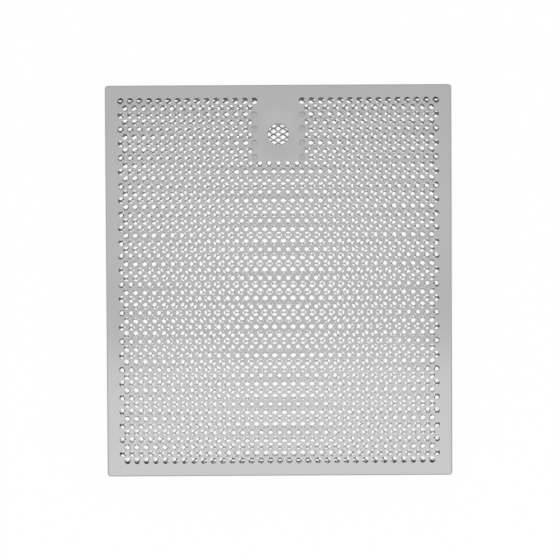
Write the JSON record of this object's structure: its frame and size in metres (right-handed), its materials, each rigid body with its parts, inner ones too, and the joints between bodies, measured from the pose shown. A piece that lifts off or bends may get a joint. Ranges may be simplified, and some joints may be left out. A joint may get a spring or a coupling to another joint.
{
  "type": "cooker hood grease filter",
  "caption": "Flat rectangular metal grease filter cassette: perforated folded front sheet with a blank tab and finger hole, over an expanded metal mesh.",
  "frame": {"origin": "middle of the rear side, on the plane of the return lips", "axes": "+Z out of the perforated front face, +Y towards the finger hole, +X across the filter"},
  "size_m": [0.291, 0.329, 0.016],
  "materials": {
    "front_steel": "satin, fine straight grain",
    "plate_steel": "plain mill finish",
    "mesh_aluminium": "bright mill finish"
  },
  "bodies": {
    "root": {"front_sheet": "front_steel", "finger_hole_plate": "plate_steel", "rear_mesh": "mesh_aluminium"}
  },
  "joints": []
}
